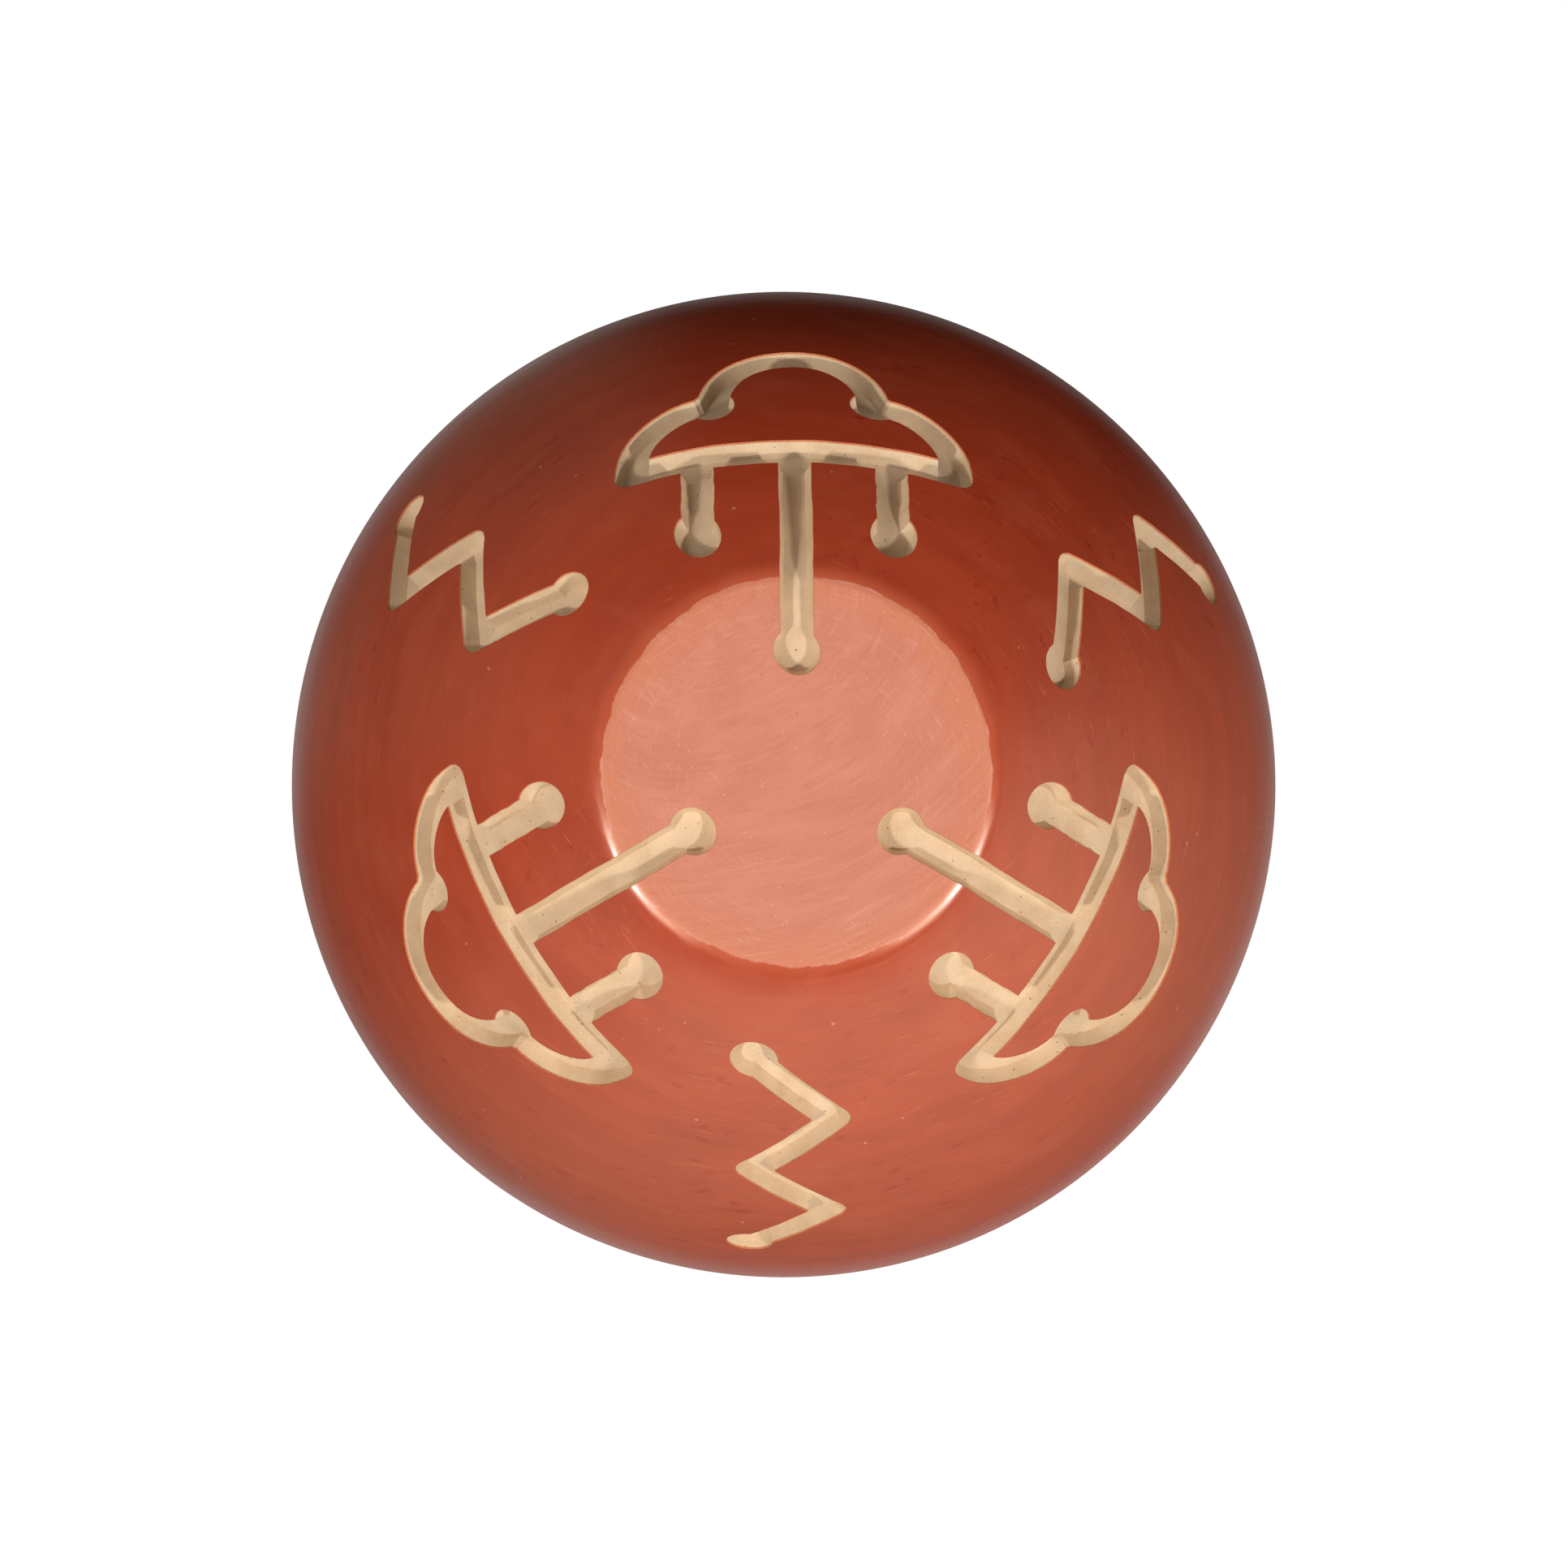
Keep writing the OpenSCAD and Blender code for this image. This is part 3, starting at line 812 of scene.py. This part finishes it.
# Hand-built form: no coil-built jar is quite round, so the finished pieces are all eased by
# the same slow swells. The polished faces keep the flow of the uncut wall right up to each cut.
SWELL = 0.0045
# Each swell: its share, how many there are around the jar, and how they lean with the height
SWELLS = ((0.45, 2, 0.6, 90), (0.33, 3, -1.1, -70), (0.22, 5, 2.3, 45))
SLOPE_STEP = 0.01
ON_FACE = 0.03
AT_ONCE = 4000
CREASE = math.radians(28)


def eased(points):
    """Places, in millimetres, after the wall's slow swells in and out."""
    turn = np.arctan2(points[:, 1], points[:, 0])
    swell = 0.0
    for share, count, start, lean in SWELLS:
        swell = swell + share * np.sin(count * turn + start + points[:, 2] / lean)
    scale = 1 - SWELL * (0.5 + 0.5 * swell)
    return points * np.stack((scale, scale, np.ones_like(scale)), axis=1)


def eased_normals(points, normals):
    """Directions square to the wall after the same swells."""
    columns = []
    for axis in SLOPE_STEP * np.eye(3):
        columns.append((eased(points + axis) - eased(points - axis)) / (2 * SLOPE_STEP))
    turned_in = np.linalg.solve(np.stack(columns, axis=1), normals[:, :, None])[:, :, 0]
    return turned_in / np.linalg.norm(turned_in, axis=1)[:, None]


def wall_normals(points, line):
    """Distance of each place from the uncut outside, and the direction out of it there."""
    steps = np.diff(line, axis=0)
    sides = np.stack((steps[:, 1], -steps[:, 0]), axis=1)
    sides /= np.linalg.norm(sides, axis=1)[:, None]
    at_points = np.concatenate((sides[:1], sides[:-1] + sides[1:], sides[-1:]))
    at_points /= np.linalg.norm(at_points, axis=1)[:, None]
    flat = np.stack((np.hypot(points[:, 0], points[:, 1]), points[:, 2]), axis=1)
    away = np.empty(len(flat))
    out = np.empty((len(flat), 2))
    for start in range(0, len(flat), AT_ONCE):
        some = slice(start, start + AT_ONCE)
        here = flat[some, None, :] - line[None, :-1, :]
        share = (here * steps).sum(axis=2) / (steps ** 2).sum(axis=1)
        share = np.clip(share, 0, 1)
        gap = np.linalg.norm(here - share[:, :, None] * steps, axis=2)
        nearest = gap.argmin(axis=1)
        rows = np.arange(len(nearest))
        away[some] = gap[rows, nearest]
        part = share[rows, nearest][:, None]
        out[some] = at_points[nearest] * (1 - part) + at_points[nearest + 1] * part
    reach = np.maximum(flat[:, :1], 1e-6)
    return away, np.concatenate((points[:, :2] / reach * out[:, :1], out[:, 1:]), axis=1)


whole_line = np.array(base_section + outside[1:])
for name, piece in pieces.items():
    bpy.ops.object.select_all(action="DESELECT")
    piece.select_set(True)
    bpy.context.view_layer.objects.active = piece
    mesh = piece.data
    places = np.empty(len(mesh.vertices) * 3)
    mesh.vertices.foreach_get("co", places)
    places = places.reshape(-1, 3) / MM
    mesh.vertices.foreach_set("co", (eased(places) * MM).ravel())
    mesh.update()
    bpy.ops.object.shade_smooth_by_angle(angle=CREASE)
    if name in OWN_FINISH:
        away, normals = wall_normals(places, whole_line)
        normals = eased_normals(places, normals)
        corners = [tuple(corner.vector) for corner in mesh.corner_normals]
        for face in mesh.polygons:
            if face.material_index == 0 and all(away[v] < ON_FACE for v in face.vertices):
                for corner in face.loop_indices:
                    corners[corner] = tuple(normals[mesh.loops[corner].vertex_index])
        mesh.normals_split_custom_set(corners)
    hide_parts(name)
    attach(piece, "root")

# Stage: a plain pale floor that runs out into a white ground, and lamps around it. It hides
# nothing from below, because the jar is seen from under it: whatever is seen through it is lit
# as if it weren't there.
FLOOR_TONES = (0.80, 0.79, 0.77, 1), (0.84, 0.83, 0.81, 1)
FLOOR_SIZE = 12.0
FLOOR_DROP = 0.0003
WHITE = (1, 1, 1, 1)
bpy.ops.object.select_all(action="DESELECT")
bpy.ops.mesh.primitive_plane_add(size=FLOOR_SIZE, location=(0, 0, -FLOOR_DROP))
floor = bpy.context.object
floor.name = "floor"
pale_floor, tree, sockets, where = new_material("pale_floor")
sockets["Roughness"].default_value = 0.9
shade = mixed(tree, noise(tree, where, 3.0), *FLOOR_TONES)
tree.links.new(shade, sockets["Base Color"])
rays = add_node(tree, "ShaderNodeLightPath").outputs
away = add_node(tree, "ShaderNodeVectorMath", {0: where}, operation="LENGTH").outputs["Value"]
far = calc(tree, "MULTIPLY", ranged(tree, away, 0.25, 1.3), rays["Is Camera Ray"])
ground = add_node(tree, "ShaderNodeEmission", {"Color": WHITE, "Strength": 1.0}).outputs[0]
near = tree.nodes["Principled BSDF"].outputs[0]
solid = add_node(tree, "ShaderNodeMixShader", {0: far, 1: near, 2: ground}).outputs[0]
behind = add_node(tree, "ShaderNodeNewGeometry").outputs["Backfacing"]
passed = calc(tree, "GREATER_THAN", rays["Transparent Depth"], 0.5)
behind = calc(tree, "MAXIMUM", behind, passed)
clear = add_node(tree, "ShaderNodeBsdfTransparent").outputs[0]
both = add_node(tree, "ShaderNodeMixShader", {0: behind, 1: solid, 2: clear}).outputs[0]
tree.links.new(both, tree.nodes["Material Output"].inputs["Surface"])
floor.data.materials.append(pale_floor)

# Lamps around the jar. The softboxes show in the polish, and the others only give light
LAMP_AIM = (0, 0, 0.07)
BOX_WHITE, FILL_WHITE, TOP_WHITE = (1.0, 0.98, 0.95), (1.0, 0.97, 0.93), (1.0, 0.99, 0.97)


def soft_lamp(name, place, size, watts, colour, mirrored):
    """Soft lamp turned to the jar, which the polished coat mirrors or doesn't."""
    lamp = bpy.data.lights.new(name, "AREA")
    lamp.shape = "RECTANGLE"
    lamp.size, lamp.size_y = size
    lamp.energy = watts
    lamp.color = colour
    holder = bpy.data.objects.new(name, lamp)
    holder.location = place
    holder.rotation_euler = (Vector(LAMP_AIM) - Vector(place)).to_track_quat("-Z", "Y").to_euler()
    holder.visible_glossy = mirrored
    bpy.context.scene.collection.objects.link(holder)


soft_lamp("left_softbox", (-0.55, 0.31, -0.82), (0.06, 0.09), 4.7, BOX_WHITE, True)
soft_lamp("right_softbox", (0.55, 0.31, -0.82), (0.06, 0.09), 4.9, BOX_WHITE, True)
soft_lamp("left_fill", (-0.70, -0.60, -0.55), (0.5, 0.5), 1.95, FILL_WHITE, False)
soft_lamp("right_fill", (0.92, 0.0, -0.35), (0.5, 0.5), 1.5, FILL_WHITE, False)
soft_lamp("overhead", (0.25, 0.55, 1.15), (0.8, 0.8), 12.0, TOP_WHITE, False)
soft_lamp("front_top", (-0.25, -0.33, 1.35), (0.5, 0.5), 5.5, TOP_WHITE, False)
soft_lamp("top_softbox", (0, 0, 1.3), (0.34, 0.34), 3.5, TOP_WHITE, True)

# Glow of the bright table, level from its side. It has no surface that a reflection could pass
GLOW_STRENGTH = 0.38
GLOW_SPREAD = 1.17
glow_lamp = bpy.data.lights.new("table_glow", "SUN")
glow_lamp.energy = GLOW_STRENGTH
glow_lamp.angle = GLOW_SPREAD
glow_lamp.color = FILL_WHITE
table_glow = bpy.data.objects.new("table_glow", glow_lamp)
table_glow.rotation_euler = (math.radians(-90), 0, 0)
table_glow.visible_glossy = False
bpy.context.scene.collection.objects.link(table_glow)

# World: white to the camera, and a soft cool light, stronger from the table's side and from
# below, on everything. The polished coat mirrors a studio that is dark but for the table's side,
# the walls and two softboxes under the table's edge.
EVEN_TINT = (0.9, 0.95, 1.0, 1)
WARM_GLOW, HIGH_GLOW, PLAIN_GLOW = (1.0, 0.96, 0.67, 1), (1.0, 0.98, 0.92, 1), (1.0, 0.98, 0.94, 1)
PLAIN_SHARE = 0.6
BOX_STRENGTH = 14.0
world = bpy.data.worlds.new("studio")
bpy.context.scene.world = world
world.use_nodes = True
tree = world.node_tree
look = add_node(tree, "ShaderNodeTexCoord").outputs["Generated"]
look, flat = from_axis(tree, look)
flat = calc(tree, "MAXIMUM", flat, 1e-3)


def facing(x, across, along):
    """How nearly a direction, seen from above, is that of a part of the studio."""
    both = calc(tree, "MULTIPLY", x, across)
    both = calc(tree, "ADD", both, calc(tree, "MULTIPLY", look[1], along))
    return calc(tree, "DIVIDE", both, flat)


# Each part: its direction, how nearly one faces it, the heights at which it begins, and its
# strength from one height to another
TABLE_SIDE = ((0.342, 0.940), (-0.15, 0.95), (-0.52, -0.38), (-0.6, 0.95, 2.5, 0.15))
RIGHT_WALL = ((1.0, 0.0), (0.70, 0.97), (-0.45, -0.15), (-0.1, 0.6, 0.36, 0.1))
NEAR_WALL = ((-1.0, 0.1), (0.70, 0.95), (-0.85, -0.60), (-0.4, 0.5, 0.42, 0.0))
LEFT_WALL = ((-0.87, 0.49), (0.55, 0.95), (-0.1, 0.4), (0.4, 0.9, 0.16, 0.1))
FAR_WALL = ((-0.788, -0.616), (0.72, 0.93), (-0.3, 0.0), (0.0, 0.65, 0.3, 0.13))
edges = ranged(tree, look[2], 0.86, 0.97, 0.005, 0.15)
glow = calc(tree, "ADD", edges, ranged(tree, look[2], -0.6, 0.1, 0.2, 0.0))
STUDIO = (TABLE_SIDE, RIGHT_WALL, NEAR_WALL, LEFT_WALL, FAR_WALL)
for direction, faced, begins, strength in STUDIO:
    part = ranged(tree, facing(look[0], *direction), *faced)
    part = calc(tree, "MULTIPLY", part, ranged(tree, look[2], *begins))
    part = calc(tree, "MULTIPLY", part, ranged(tree, look[2], *strength))
    glow = calc(tree, "ADD", glow, part)
boxes = ranged(tree, look[2], -0.955, -0.89)
boxes = calc(tree, "MULTIPLY", boxes, ranged(tree, look[2], -0.83, -0.70, 1.0, 0.0))
toward = facing(calc(tree, "ABSOLUTE", look[0]), 0.83, 0.56)
boxes = calc(tree, "MULTIPLY", boxes, ranged(tree, toward, 0.90, 0.985, 0.0, BOX_STRENGTH))
glow = calc(tree, "ADD", glow, boxes)
hue = mixed(tree, ranged(tree, look[2], 0.75, 0.95), WARM_GLOW, HIGH_GLOW)
rays = add_node(tree, "ShaderNodeLightPath").outputs
# Over the floor, the studio that the coat mirrors is weaker and has no warm tint
under = calc(tree, "GREATER_THAN", rays["Transparent Depth"], 0.5)
hue = mixed(tree, under, PLAIN_GLOW, hue)
glow = calc(tree, "MULTIPLY", glow, ranged(tree, under, 0.0, 1.0, PLAIN_SHARE, 1.0))
below = calc(tree, "MULTIPLY", look[1], 0.9)
below = calc(tree, "SUBTRACT", below, calc(tree, "MULTIPLY", look[2], 0.45))
fill = ranged(tree, below, -0.35, 0.9, 0.01, 0.50)


def background(colour, strength):
    """Light of one colour from all around."""
    inputs = {"Color": colour, "Strength": strength}
    return add_node(tree, "ShaderNodeBackground", inputs).outputs[0]


def one_of(choice, first, second):
    """First light, or the second where the choice is 1."""
    inputs = {0: choice, 1: first, 2: second}
    return add_node(tree, "ShaderNodeMixShader", inputs).outputs[0]


lit = one_of(rays["Is Glossy Ray"], background(EVEN_TINT, fill), background(hue, glow))
seen = calc(tree, "MAXIMUM", rays["Is Camera Ray"], rays["Is Transmission Ray"])
lit = one_of(seen, lit, background(WHITE, 1.0))
tree.links.new(lit, tree.nodes["World Output"].inputs["Surface"])
bpy.context.scene.view_settings.view_transform = "Standard"

# Camera: under the jar, looking up its axis and a little to one side of it.
SIDE_LOOK = 0.0236
LENS_MM, SENSOR_MM = 114.2, 36.0
LOOK_HEIGHT = 0.105
CAMERA_REACH = 1.055
camera = bpy.data.objects.new("camera", bpy.data.cameras.new("camera"))
camera.data.lens = LENS_MM
camera.data.sensor_width = SENSOR_MM
ahead = Vector((SIDE_LOOK, -SIDE_LOOK, 1)).normalized()
right = ahead.cross(Vector((0, -1, 0))).normalized()
camera.matrix_world = Matrix((right, right.cross(ahead), -ahead)).transposed().to_4x4()
camera.location = Vector((0, 0, LOOK_HEIGHT)) - CAMERA_REACH * ahead
bpy.context.scene.collection.objects.link(camera)
bpy.context.scene.camera = camera
